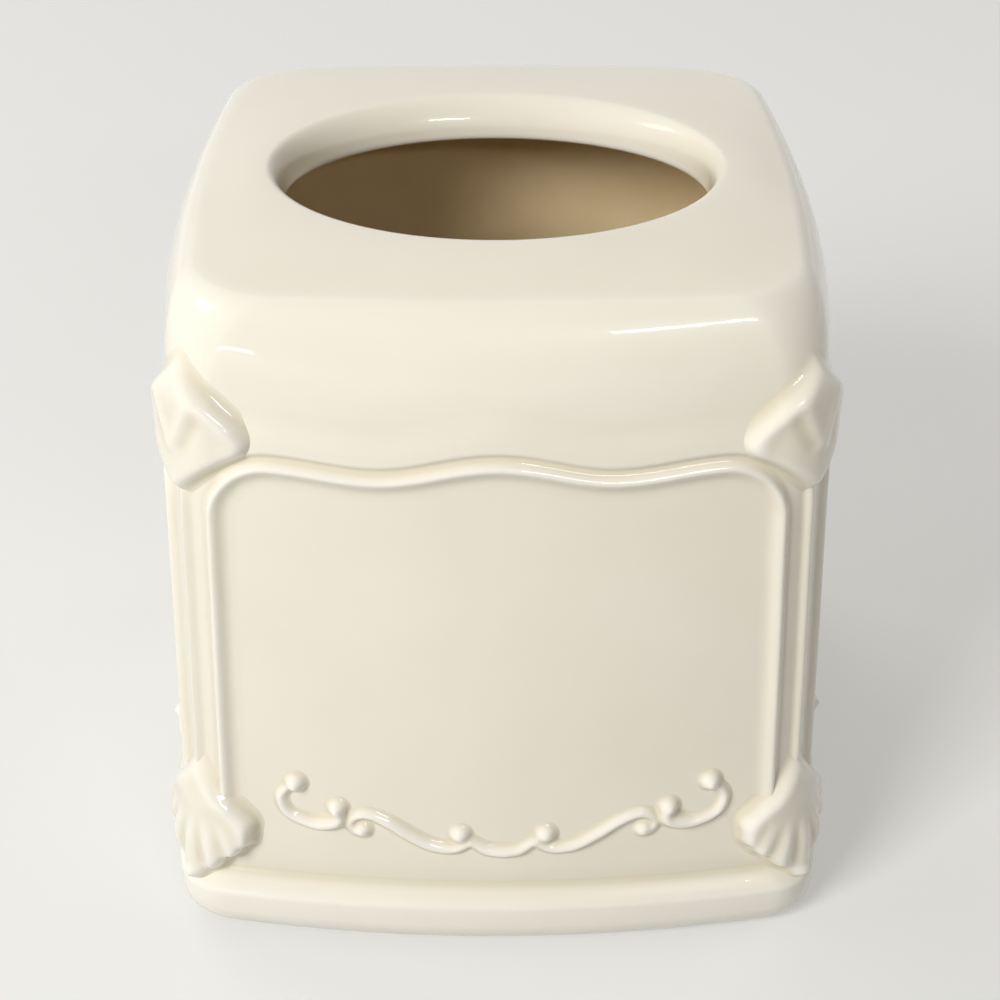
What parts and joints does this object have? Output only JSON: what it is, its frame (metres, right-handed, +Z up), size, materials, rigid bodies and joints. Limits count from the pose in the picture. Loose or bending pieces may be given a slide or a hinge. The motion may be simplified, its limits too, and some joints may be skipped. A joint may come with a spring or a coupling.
{
  "type": "tissue box cover",
  "caption": "Square glazed ceramic cover with bowed sides, an oval mouth in its domed top, an open foot, and raised frames, scallop shells and scroll garlands on its walls.",
  "frame": {"origin": "centre of the open foot, on the surface that the cover stands on", "axes": "+Z up through the mouth, front wall facing -Y, long axis of the oval mouth along X"},
  "size_m": [0.152, 0.152, 0.1525],
  "materials": {
    "ivory_glaze": "high gloss clear glaze over an ivory earthenware body"
  },
  "bodies": {
    "root": {"cover_shell": "ivory_glaze", "panel_frame_front": "ivory_glaze", "panel_frame_right": "ivory_glaze", "panel_frame_back": "ivory_glaze", "panel_frame_left": "ivory_glaze", "corner_shell_upper_front_right": "ivory_glaze", "corner_shell_upper_back_right": "ivory_glaze", "corner_shell_upper_back_left": "ivory_glaze", "corner_shell_upper_front_left": "ivory_glaze", "corner_shell_lower_front_right": "ivory_glaze", "corner_shell_lower_back_right": "ivory_glaze", "corner_shell_lower_back_left": "ivory_glaze", "corner_shell_lower_front_left": "ivory_glaze", "scroll_garland_front": "ivory_glaze", "scroll_garland_right": "ivory_glaze", "scroll_garland_back": "ivory_glaze", "scroll_garland_left": "ivory_glaze"}
  },
  "joints": []
}
